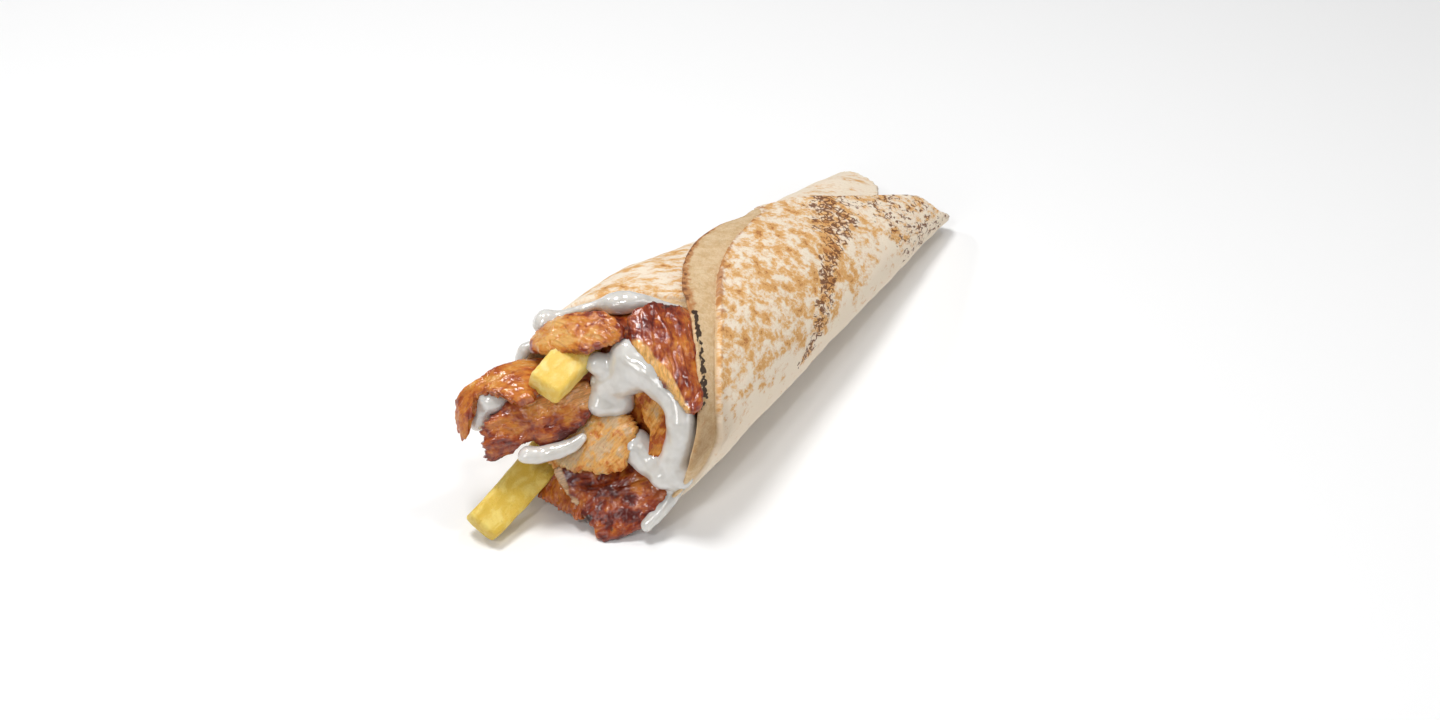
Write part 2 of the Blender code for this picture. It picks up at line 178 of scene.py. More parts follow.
def window(value, start, rise, end, fall):
    """Rise from 0 to 1 after a start, and fall back to 0 before an end."""
    return smooth((value - start) / rise) * smooth((end - value) / fall)


def ripple(points, size, seed=0.0):
    """Smooth noise from -1 to 1, with waves about two sizes long."""
    return np.array([noise.noise(Vector(point)) for point in np.asarray(points) / size + seed])


def ripples(points, waves):
    """Ripples added up, each given as a height, a size and a seed."""
    return sum(height * ripple(points, size, seed) for height, size, seed in waves)


def wrapped(angle):
    """An angle round the roll from -180 to 180, whichever turn it is on."""
    return (angle + 180.0) % 360.0 - 180.0


def on_second_turn(angle):
    """1 where the sheet has come round to its second turn, 0 on the first."""
    return smooth((SECOND_TURN_START - angle) / SECOND_TURN_SPAN)


def roll_points(x, angle, depth):
    """Points of the roll, a depth in from its outer surface, which swells at the back."""
    share = np.maximum(x, 0.0) / ROLL_LENGTH
    around = wrapped(angle)
    swell = (follow(BACK_SWELL, x) * smooth(-around / SWELL_TOP_SPAN)
             * smooth((around - SWELL_UNDER_START) / SWELL_UNDER_SPAN))
    half_width = MOUTH_RADIUS + (TAIL_HALF_WIDTH - MOUTH_RADIUS) * share ** WIDTH_POWER
    half_height = MOUTH_RADIUS + (TAIL_HALF_HEIGHT - MOUTH_RADIUS) * share ** HEIGHT_POWER
    turn = np.radians(angle)
    y = TAIL_SHIFT * share - (half_width + swell - depth) * np.sin(turn)
    z = half_height + (half_height + swell - depth) * np.cos(turn)
    z = np.maximum(z, depth + FLAT_RISE) - FLAT_RISE
    return np.stack(np.broadcast_arrays(x, y, z), axis=-1)


def tuck(angle, x):
    """How far the first turn lies below the second, which comes back over it."""
    leaves_at = TUCK_ANGLE - TUCK_TURN * smooth((x - TUCK_TURN_START) / TUCK_TURN_LENGTH)
    return (SHEET + TURN_GAP) * (1.0 - smooth((leaves_at - angle) / TUCK_SPAN))


def add_object(name, data):
    """A new object in the scene."""
    made = bpy.data.objects.new(name, data)
    bpy.context.scene.collection.objects.link(made)
    return made


def new_piece(name, points, faces, finish):
    """A smooth-shaded mesh from points in millimetres."""
    mesh = bpy.data.meshes.new(name)
    mesh.from_pydata((np.asarray(points) * MM).tolist(), [], faces)
    mesh.shade_smooth()
    mesh.materials.append(finish)
    return add_object(name, mesh)


def into_frame(piece):
    """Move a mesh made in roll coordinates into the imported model's frame."""
    piece.data.transform(Matrix.Translation(Vector(ORIGIN) * -MM) @ piece.matrix_world)
    piece.matrix_world = Matrix.Identity(4)


def grid_faces(grid):
    """Squares between the points of a grid of numbers."""
    corners = (grid[:-1, :-1], grid[:-1, 1:], grid[1:, 1:], grid[1:, :-1])
    return np.stack(corners, axis=-1).reshape(-1, 4).tolist()


def shell(name, outer, inner, finish):
    """A closed sheet between two grids of points of the same size."""
    count = outer.shape[0] * outer.shape[1]
    grid = np.arange(count).reshape(outer.shape[:2])
    faces = grid_faces(grid) + [face[::-1] for face in grid_faces(grid + count)]
    border = np.concatenate([grid[0], grid[1:, -1], grid[-1, -2::-1], grid[-2:0:-1, 0]]).tolist()
    for here, after in zip(border, border[1:] + border[:1]):
        faces.append((after, here, here + count, after + count))
    points = np.concatenate([outer.reshape(-1, 3), inner.reshape(-1, 3)])
    return new_piece(name, points, faces, finish)


def loft(name, loops, finish):
    """Join closed loops in turn, where a loop of one point closes an end."""
    points = np.concatenate([np.asarray(loop, float).reshape(-1, 3) for loop in loops])
    starts = np.cumsum([0] + [len(loop) for loop in loops])
    faces = []
    for place in range(len(loops) - 1):
        first, second = int(starts[place]), int(starts[place + 1])
        here, there = len(loops[place]), len(loops[place + 1])
        for index in range(max(here, there)):
            after = (index + 1) % max(here, there)
            face = (first + index % here, second + index % there, second + after % there,
                    first + after % here)
            faces.append(tuple(dict.fromkeys(face)))
    piece = new_piece(name, points, faces, finish)
    bm = bmesh.new()
    bm.from_mesh(piece.data)
    bmesh.ops.recalc_face_normals(bm, faces=bm.faces)
    bm.to_mesh(piece.data)
    bm.free()
    return piece


def add_mark(piece, name, values):
    """Keep one number or place for each point of a mesh, for its material to read."""
    values = np.asarray(values, np.float32)
    kind, key = ("FLOAT", "value") if values.ndim == 1 else ("FLOAT_VECTOR", "vector")
    layer = piece.data.attributes.new(name, kind, "POINT")
    layer.data.foreach_set(key, values.ravel())


# Materials.


class Shader:
    """A Principled material whose nodes are added by name, over coordinates kept in the mesh."""

    def __init__(self, name, coordinates="place", **settings):
        self.material = bpy.data.materials.new(name)
        self.material.use_nodes = True
        self.nodes = self.material.node_tree.nodes
        self.links = self.material.node_tree.links
        self.main = self.nodes["Principled BSDF"]
        for socket, value in settings.items():
            self.main.inputs[socket.replace("_", " ")].default_value = value
        self.place = self.node("Attribute", attribute_name=coordinates).outputs["Vector"]

    def node(self, kind, **settings):
        made = self.nodes.new("ShaderNode" + kind)
        for key, value in settings.items():
            setattr(made, key, value)
        return made

    def join(self, source, target):
        if isinstance(source, (int, float)):
            target.default_value = source
        elif isinstance(source, tuple):
            target.default_value = (*source, 1.0) if len(target.default_value) == 4 else source
        else:
            self.links.new(source, target)

    def drive(self, socket, source):
        """Set one of the material's own inputs."""
        self.join(source, self.main.inputs[socket])

    def number(self, name):
        return self.node("Attribute", attribute_name=name).outputs["Fac"]

    def cloud(self, sizes, turn=0.0, detail=4.0, roughness=0.55, distortion=0.0):
        """Noise with one size in millimetres, or one for each axis, turned about Z."""
        turned = self.node("Mapping", vector_type="TEXTURE")
        self.join(self.place, turned.inputs["Vector"])
        turned.inputs["Rotation"].default_value = (0.0, 0.0, math.radians(turn))
        turned.inputs["Scale"].default_value = tuple(np.broadcast_to(sizes, 3))
        made = self.node("TexNoise")
        self.join(turned.outputs["Vector"], made.inputs["Vector"])
        made.inputs["Scale"].default_value = 1.0
        made.inputs["Detail"].default_value = detail
        made.inputs["Roughness"].default_value = roughness
        made.inputs["Distortion"].default_value = distortion
        return made.outputs["Fac"]

    def math(self, operation, first, second=0.5, third=0.5):
        made = self.node("Math", operation=operation)
        for value, target in zip((first, second, third), made.inputs):
            self.join(value, target)
        return made.outputs[0]

    def plus(self, total, part, share=1.0):
        """A value with a share of another added to it."""
        return self.math("MULTIPLY_ADD", part, share, total)

    def times(self, first, second):
        return self.math("MULTIPLY", first, second)

    def ramp(self, value, low, high, to_low=0.0, to_high=1.0):
        """A value between two limits, eased, as 0 to 1 or as other numbers."""
        made = self.node("MapRange", interpolation_type="SMOOTHSTEP")
        for place, given in enumerate((value, low, high, to_low, to_high)):
            self.join(given, made.inputs[place])
        return made.outputs[0]

    def mix(self, share, first, second, blend="MIX"):
        made = self.node("Mix", data_type="RGBA", blend_type=blend)
        self.join(share, made.inputs["Factor"])
        self.join(first, made.inputs[6])
        self.join(second, made.inputs[7])
        return made.outputs[2]

    def steps(self, value, colours, low, high):
        """Colours spread evenly between two values, blended into each other."""
        made = self.node("ValToRGB")
        made.color_ramp.interpolation = "EASE"
        stops = made.color_ramp.elements
        while len(stops) < len(colours):
            stops.new(0.5)
        for index, colour in enumerate(colours):
            stops[index].position = low + (high - low) * index / (len(colours) - 1)
            stops[index].color = (*colour, 1.0)
        self.join(value, made.inputs["Fac"])
        return made.outputs["Color"]

    def bump(self, *heights, socket="Normal"):
        """Stack bumps, each a height and its depth in millimetres."""
        last = None
        for height, depth in heights:
            made = self.node("Bump")
            made.inputs["Distance"].default_value = depth * MM
            self.join(height, made.inputs["Height"])
            if last:
                self.links.new(last, made.inputs["Normal"])
            last = made.outputs["Normal"]
        self.links.new(last, self.main.inputs[socket])


CREAM = (0.79, 0.62, 0.45)
CREAM_LIGHT = (0.85, 0.73, 0.58)
GOLD_LIGHT = (0.76, 0.50, 0.26)
GOLD = (0.68, 0.365, 0.130)
TAN = (0.44, 0.180, 0.055)
SPECK = (0.17, 0.060, 0.025)
CHAR = (0.030, 0.017, 0.012)
STRIP = (0.58, 0.385, 0.195)
STRIP_LIGHT = (0.71, 0.53, 0.325)
# The tint of the painted shade on the bread's lower side and inner face.
PAINTED_SHADE_TINT = (0.62, 0.55, 0.47)
MAROON = (0.10, 0.009, 0.004)
MAHOGANY = (0.23, 0.030, 0.007)
RUSSET = (0.37, 0.078, 0.012)
ORANGE = (0.52, 0.160, 0.022)
AMBER = (0.60, 0.235, 0.034)
HONEY = (0.70, 0.375, 0.110)
BEIGE = (0.58, 0.400, 0.225)
DARK_GLAZE = (MAROON, MAHOGANY, RUSSET, ORANGE, AMBER)
FLESH = (0.74, 0.46, 0.22)
# The tint of the painted shade in the gaps between meat fibres.
FIBRE_SHADE = (0.50, 0.30, 0.20)
SOOT = (0.025, 0.010, 0.008)
SAUCE_GREY = (0.60, 0.575, 0.53)
SAUCE_WHITE = (0.70, 0.68, 0.645)

BLOTCH_SIZES = (6.75, 4.95, 4.5)
POOL_SIZE = 1.6
MEAT_ROUGHNESS = (0.336, 0.588)
FRY_ROUGHNESS = (0.42, 0.62)


def darker(colour, share):
    """A share of a colour's light."""
    return tuple(part * share for part in colour)


def toasted(shader, regions, patches, mottle):
    """Cream, gold and tan in patches, more golden in some regions than in others."""
    share = shader.plus(patches, shader.number("toasting"), 0.26)
    share = shader.plus(share, regions, 0.42)
    share = shader.plus(share, mottle, 0.22)
    share = shader.plus(share, shader.number("specks"), 0.05)
    tones = (CREAM_LIGHT, CREAM, GOLD_LIGHT, GOLD, GOLD, TAN)
    return shader.steps(shader.ramp(share, 0.85, 1.30), tones, 0.12, 0.92)


def specked(shader, colour, worms, dense, mottle):
    """Dark wavy specks where they lie dense, with tan between them."""
    off_line = shader.math("ABSOLUTE", shader.math("SUBTRACT", worms, 0.5))
    speck = shader.times(shader.ramp(off_line, 0.045, 0.085, 1.0, 0.0), shader.ramp(dense, 1.70, 1.86))
    colour = shader.mix(shader.times(speck, 0.92), colour, SPECK)
    halo = shader.ramp(shader.plus(dense, mottle, 0.5), 2.10, 2.45, 0.0, 0.55)
    return shader.mix(halo, colour, TAN, "DARKEN")


def plain_strip(shader, patches, mottle, grain):
    """The untoasted face of the ply that stands out past the other."""
    clouds = shader.plus(shader.times(mottle, 0.4), patches, 0.8)
    clouds = shader.plus(clouds, grain, 0.25)
    return shader.mix(shader.ramp(clouds, 0.58, 0.86), STRIP, STRIP_LIGHT)


def burnt_edges(shader, colour, worms):
    """Brown and black spots along the edges of the sheet."""
    browned = shader.plus(shader.number("browning"), worms, 1.1)
    colour = shader.mix(shader.ramp(browned, 0.80, 1.15, 0.0, 0.85), colour, TAN)
    colour = shader.mix(shader.ramp(browned, 1.20, 1.4, 0.0, 0.9), colour, SPECK)
    charred = shader.plus(shader.number("char"), worms, 1.1)
    return shader.mix(shader.ramp(charred, 1.30, 1.40, 0.0, 0.95), colour, CHAR)


def bread_finish():
    """Pale flatbread with golden mottling, brown specks and charred rims, and painted shade on its lower
    side by the mouth and on its inner face.
    """
    shader = Shader("bread", "sheet", Roughness=0.85, Subsurface_Weight=0.10,
                    Subsurface_Scale=0.003, Subsurface_Radius=(1.0, 0.6, 0.35),
                    Specular_IOR_Level=0.3)

    def layer(size, **settings):
        return shader.cloud((size, size * 0.85, size), **settings)

    regions = layer(12.0, detail=2.0)
    patches = layer(4.4, detail=7.0, roughness=0.68, distortion=0.2)
    mottle = layer(1.2, roughness=0.68)
    grain = layer(0.45, detail=2.0)
    worms = layer(2.3, detail=1.5, roughness=0.45, distortion=0.5)
    dense = shader.plus(shader.number("specks"), layer(4.2, detail=3.0, roughness=0.6), 1.3)
    dense = shader.plus(dense, layer(2.4, detail=2.0), 0.6)
    colour = specked(shader, toasted(shader, regions, patches, mottle), worms, dense, mottle)
    past_step = shader.ramp(shader.number("from_step"), -0.2, 0.5)
    colour = shader.mix(past_step, plain_strip(shader, patches, mottle, grain), colour)
    # Painted shade: a dim tint multiplied in where the painted-shade mark lies.
    shaded = shader.mix(1.0, colour, PAINTED_SHADE_TINT, "MULTIPLY")
    colour = shader.mix(shader.number("dusk"), colour, shaded)
    shader.drive("Base Color", burnt_edges(shader, colour, worms))
    shader.bump((patches, 0.35), (mottle, 0.30), (grain, 0.14))
    return shader.material


def glazed(shader, tones, streaks, blotches, lines, pools):
    """Glaze from dark to light in blotches, streaks and small pools, darker at the rim."""
    tone = shader.plus(shader.times(blotches, 1.0 - streaks), lines, streaks)
    tone = shader.plus(tone, shader.math("SUBTRACT", pools, 0.5), 0.28)
    tone = shader.plus(tone, shader.number("rim"), -0.07)
    tone = shader.plus(tone, shader.number("tone"))
    return shader.steps(tone, tones, 0.33, 0.67)


def meat_finish(name, tones, pale=FLESH, fibre=0.0, sizes=(5.0, 0.7), streaks=0.16, coat=0.8,
                gap_shade=0.10):
    """Roast meat: glaze, pale cut flesh and burnt spots over its fibres, all wet, with painted shade in
    the gaps between its fibres.
    """
    shader = Shader(name, Subsurface_Weight=0.22, Subsurface_Scale=0.0025,
                    Subsurface_Radius=(1.0, 0.30, 0.10), Specular_IOR_Level=0.12,
                    Coat_Weight=coat, Coat_Roughness=0.12, Coat_IOR=1.62)
    length, width = sizes
    blotches = shader.cloud(BLOTCH_SIZES, fibre, roughness=0.5, distortion=0.7)
    lines = shader.cloud((length * 1.6, width * 2.2, 2.5), fibre, detail=5.0, roughness=0.6,
                         distortion=1.4)
    fibres = shader.cloud((length * 0.7, width * 0.6, 1.0), fibre, roughness=0.6, distortion=0.8)
    pools = shader.cloud(POOL_SIZE, detail=3.0, roughness=0.5)
    grains = shader.cloud(0.75, detail=1.0)
    colour = glazed(shader, tones, streaks, blotches, lines, pools)
    colour = shader.mix(shader.ramp(grains, 0.68, 0.80, 0.0, 0.5), colour, MAHOGANY, "DARKEN")
    # Painted shade in the gaps between the fibres. Its strength is one of this function's arguments.
    shaded = shader.mix(1.0, colour, FIBRE_SHADE, "MULTIPLY")
    colour = shader.mix(shader.ramp(fibres, 0.30, 0.60, gap_shade, 0.0), colour, shaded)
    flesh = shader.mix(shader.ramp(fibres, 0.35, 0.62), darker(pale, 0.62), pale)
    cut = shader.plus(shader.number("pale"), blotches, 0.45)
    colour = shader.mix(shader.ramp(cut, 0.60, 0.84), colour, flesh)
    burnt = shader.plus(shader.plus(shader.number("burnt"), blotches, 0.5), pools, 0.4)
    colour = shader.mix(shader.ramp(burnt, 0.80, 0.95, 0.0, 0.94), colour, SOOT)
    shader.drive("Base Color", colour)
    shader.drive("Roughness", shader.ramp(blotches, 0.35, 0.65, *MEAT_ROUGHNESS))
    shader.bump((lines, 0.12), (pools, 0.16), (fibres, 0.08))
    shader.bump((pools, 0.30), (grains, 0.10), socket="Coat Normal")
    return shader.material


def fry_finish(name, deep, light):
    """Fried potato: bright yellow with paler, cloudy patches."""
    shader = Shader(name, Subsurface_Weight=0.25, Subsurface_Scale=0.003,
                    Subsurface_Radius=(1.0, 0.7, 0.2))
    clouds = shader.cloud((4.5, 3.0, 3.0), distortion=0.4)
    grains = shader.cloud(0.6, detail=3.0, roughness=0.6)
    colour = shader.mix(shader.ramp(clouds, 0.38, 0.66), deep, light)
    colour = shader.mix(shader.ramp(grains, 0.58, 0.78, 0.0, 0.5), colour, darker(deep, 0.75))
    shader.drive("Base Color", colour)
    shader.drive("Roughness", shader.ramp(clouds, 0.3, 0.7, *FRY_ROUGHNESS))
    shader.bump((clouds, 0.35), (grains, 0.16))
    return shader.material


def sauce_finish():
    """Thick white garlic and yoghurt sauce with a wet surface."""
    shader = Shader("sauce", Roughness=0.18, Subsurface_Weight=0.30, Subsurface_Scale=0.004,
                    Subsurface_Radius=(1.0, 0.85, 0.65), Coat_Weight=1.0, Coat_Roughness=0.05,
                    Coat_IOR=1.8)
    waves = shader.cloud(5.0, detail=2.0)
    specks = shader.cloud(0.5, detail=2.0)
    shader.drive("Base Color", shader.mix(shader.ramp(waves, 0.3, 0.7), SAUCE_GREY, SAUCE_WHITE))
    shader.bump((waves, 0.15), (specks, 0.01))
    return shader.material


# The bread.

# How golden the sheet is and where its specks lie, by the angle round the roll.
TOASTING = {
    -180: 0.35, -120: 0.45, -60: 0.6, -20: 0.85, 60: 0.85, 80: 0.6, 98: 0.15, 140: 0.15, 180: 0.35}
TAIL_PALENESS = {100: 0.0, 125: 0.25, 150: 0.35, 176: 0.45}
SPECK_MIDDLE = {
    -180: 70, -60: 150, -34: 142, 4: 124, 29: 112, 40: 101, 50: 91, 67: 80.5, 85: 71, 99: 60.5, 180: 30}
SPECK_WIDTH = {-34: 14, 4: 24, 29: 24, 40: 17, 50: 13, 67: 10, 99: 8, 180: 6}
RIM_BROWNING = {
    -412: 0.7, -386: 0.85, -376: 0.8, -346: 0.75, -336: 0.4, -240: 0.1, -180: 0.2, -60: 0.35, 0: 0.3,
    38: 0.3}
RIM_CHAR = {-347: 0.0, -339: 0.88, -292: 0.88, -284: 0.0}
STEP_BROWNING = {-412: 0.4, -380: 0.45, -352: 0.62, -336: 0.62, -322: 0.35, -290: 0.2, -270: 0.1}

# Patterns whose terms are a height in millimetres, a size and a seed.
BREAD_WAVES = ((0.55, 16.0, 0.0), (0.22, 6.0, 3.0), (0.10, 2.4, 7.0))
RIM_WAVES = ((0.55, 2.6, 0.0), (0.35, 0.9, 5.0))
STEP_WAVES = ((0.6, 2.2, 11.0),)
TAIL_WAVES = ((1.2, 1.6, 17.0),)

# Small forms of the outer face: a height, and the middle and half-width of each.
GROOVE = (-0.35, -0.4, 0.45)
CURL = (0.12, 1.6, 1.2)
LIP = (1.3, 3.0, 2.6)
BLISTER = (0.9, 23.0, 5.0)
BLISTER_AROUND = (80.0, 9.0)
CREASE = (-0.6, 101.0, 1.6)
CREASE_SWAY = 4.0
CREASE_BEND = 9.0

# Bands along the sheet's edges: a middle and a half-width, after a strength for the tail's.
RIM_BAND = (0.5, 4.0)
CHAR_BAND = (2.0, 3.2)
STEP_BAND = (1.5, 3.2)
TAIL_BAND = (0.30, 0.0, 1.0)
TAIL_SPECKS = 0.80
TAIL_SPECKS_START = 124.0
TAIL_SPECKS_SPAN = 12.0
FIRST_TURN_SPECKS = 0.30
# Painted shade on the second turn's lower side near the mouth: its strength, and where it fades out along
# the roll.
PAINTED_SHADE_STRENGTH = 0.85
PAINTED_SHADE_END = 30.0
PAINTED_SHADE_SPAN = 26.0
RELIEF_RISE = 2.0

# Stretches in which something shows: where it starts, its rise, where it ends, its fall.
LIP_AROUND = (84.0, 10.0, 112.0, 10.0)
CREASE_ALONG = (20.0, 8.0, 62.0, 20.0)
TAIL_SPECKS_AROUND = (-60.0, 30.0, 118.0, 20.0)
# The last stretch is where the painted shade shows round the roll.
PAINTED_SHADE_AROUND = (42.0, 50.0, 132.0, 20.0)

# The value of each mark on the inner face, where it isn't 0: the painted shade darkens the whole inner
# face a little.
INNER_MARKS = {"from_step": -1.0, "dusk": 0.4}


def relief(x, angle, from_rim, from_step, arc):
    """How far the bread's outer face stands out, in millimetres."""
    around = wrapped(angle)
    flat = np.stack([x, arc, np.zeros_like(x)], axis=-1).reshape(-1, 3)
    waves = ripples(flat, BREAD_WAVES).reshape(x.shape)
    lip = ridge(from_step, *LIP) * window(around, *LIP_AROUND)
    blister = ridge(x, *BLISTER) * hump(around, *BLISTER_AROUND)
    swayed = around + CREASE_SWAY * np.sin(x / CREASE_BEND)
    crease = ridge(swayed, *CREASE) * window(x, *CREASE_ALONG)
    forms = ridge(from_step, *GROOVE) + ridge(from_step, *CURL) + lip + blister + crease
    return waves * smooth(from_rim / RELIEF_RISE) + on_second_turn(angle) * forms


def bread_grid():
    """The sheet row by row: angles, places along the roll, how far up the step, and edges."""
    angle = np.linspace(TURN_START, TURN_END, TURN_COLUMNS)
    along = np.stack([angle * EDGE_STRETCH, np.zeros_like(angle), np.zeros_like(angle)], axis=-1)
    tail = follow_softly(TAIL_EDGE, angle) + ripples(along, TAIL_WAVES)
    outer = follow_softly(OUTER_PLY_EDGE, angle) + ripples(along, STEP_WAVES)
    outer = np.minimum(outer, tail - STEP_WIDTH - STEP_MARGIN)
    inner = follow_softly(INNER_PLY_EDGE, angle) + ripples(along, RIM_WAVES)
    inner = np.minimum(inner, outer - STRIP_LEAST)
    strip = np.linspace(0.0, 1.0, STRIP_ROWS) ** STRIP_EASE
    steps = np.linspace(0.0, 1.0, STEP_ROWS + 1)[1:]
    body = 1.0 - (1.0 - np.linspace(0.0, 1.0, BODY_ROWS + 1)[1:]) ** BODY_EASE
    start = outer + STEP_WIDTH
    x = np.array([inner + (outer - inner) * share for share in strip]
                 + [outer + STEP_WIDTH * share for share in steps]
                 + [start + (tail - start) * share for share in body])
    up = np.concatenate([np.zeros(STRIP_ROWS), np.sin(steps * math.pi / 2.0), np.ones(BODY_ROWS)])
    return np.broadcast_to(angle, x.shape), x, up[:, None], inner, outer, tail


def unrolled(angles, x):
    """How far round the sheet each point lies, in millimetres."""
    share = np.maximum(x, 0.0) / ROLL_LENGTH
    end_radius = 0.5 * (TAIL_HALF_WIDTH + TAIL_HALF_HEIGHT)
    radius = MOUTH_RADIUS + (end_radius - MOUTH_RADIUS) * share ** UNROLL_POWER
    return np.radians(angles - UNROLL_START) * radius


def bread_marks(angles, x, from_rim, from_step, to_tail):
    """How toasted, specked, browned, charred and shaded each point of the outer face is."""
    around = wrapped(angles)
    second = on_second_turn(angles)
    specks = hump(x, follow(SPECK_MIDDLE, around), follow(SPECK_WIDTH, around))
    tail_specks = smooth((x - TAIL_SPECKS_START) / TAIL_SPECKS_SPAN) * window(around, *TAIL_SPECKS_AROUND)
    shown = FIRST_TURN_SPECKS + (1.0 - FIRST_TURN_SPECKS) * second
    rim = follow(RIM_BROWNING, angles) * hump(from_rim, *RIM_BAND)
    step = follow(STEP_BROWNING, angles) * hump(from_step, *STEP_BAND) * smooth(from_step / 0.6 + 1.0)
    # Painted shade on the lower side near the mouth, with less of it on the body past the outer ply's
    # edge above the side.
    dusk = PAINTED_SHADE_STRENGTH * second * window(around, *PAINTED_SHADE_AROUND) * smooth((PAINTED_SHADE_END - x) / PAINTED_SHADE_SPAN)
    lit = 1.0 - 0.6 * smooth((from_step - 3.0) / 6.0) * smooth((88.0 - around) / 8.0)
    return {
        "from_step": from_step,
        "toasting": follow(TOASTING, around) - follow(TAIL_PALENESS, x),
        "specks": np.maximum(specks, TAIL_SPECKS * tail_specks) * shown,
        "dusk": dusk * lit,
        "browning": np.maximum.reduce([rim, step, ridge(to_tail, *TAIL_BAND)]),
        "char": follow(RIM_CHAR, angles) * hump(from_rim, *CHAR_BAND),
    }


def make_bread(finish):
    """The sheet of bread, wound one and a quarter times round."""
    angles, x, up, inner, outer, tail = bread_grid()
    from_rim, from_step, to_tail = x - inner, x - outer, tail - x
    thinned = 1.0 - (1.0 - PLY_SHARE) * smooth((TIP_START - angles) / TIP_SPAN)
    thickness = SHEET * (PLY_SHARE + (thinned - PLY_SHARE) * up)
    rim = np.minimum(np.minimum(from_rim, to_tail) / RIM_ROUND, 1.0)
    half = thickness / 2.0 * np.sqrt(np.maximum(1.0 - (1.0 - rim) ** 2, RIM_LEAST))
    middle = SHEET + tuck(angles, x) - thickness / 2.0
    arc = unrolled(angles, x)
    raised = relief(x, angles, from_rim, from_step, arc) * smooth(to_tail / RELIEF_RISE)
    outer_face = roll_points(x, angles, middle - half - raised)
    outer_face[..., 2] = np.maximum(outer_face[..., 2], 0.0)
    bread = shell("bread_skin", outer_face, roll_points(x, angles, middle + half), finish)
    flat = np.stack([x, arc, np.zeros_like(x)], axis=-1).reshape(-1, 3)
    add_mark(bread, "sheet", np.concatenate([flat, flat]))
    for name, values in bread_marks(angles, x, from_rim, from_step, to_tail).items():
        inside = np.full(x.size, INNER_MARKS.get(name, 0.0))
        add_mark(bread, name, np.concatenate([values.ravel(), inside]))
    return bread


# The slices of meat: where each lies and which way it faces, its colours from dark to light,
# the way of its fibres in degrees, how torn its edge is, how long the strings at its edge are
# and how rough its faces are.

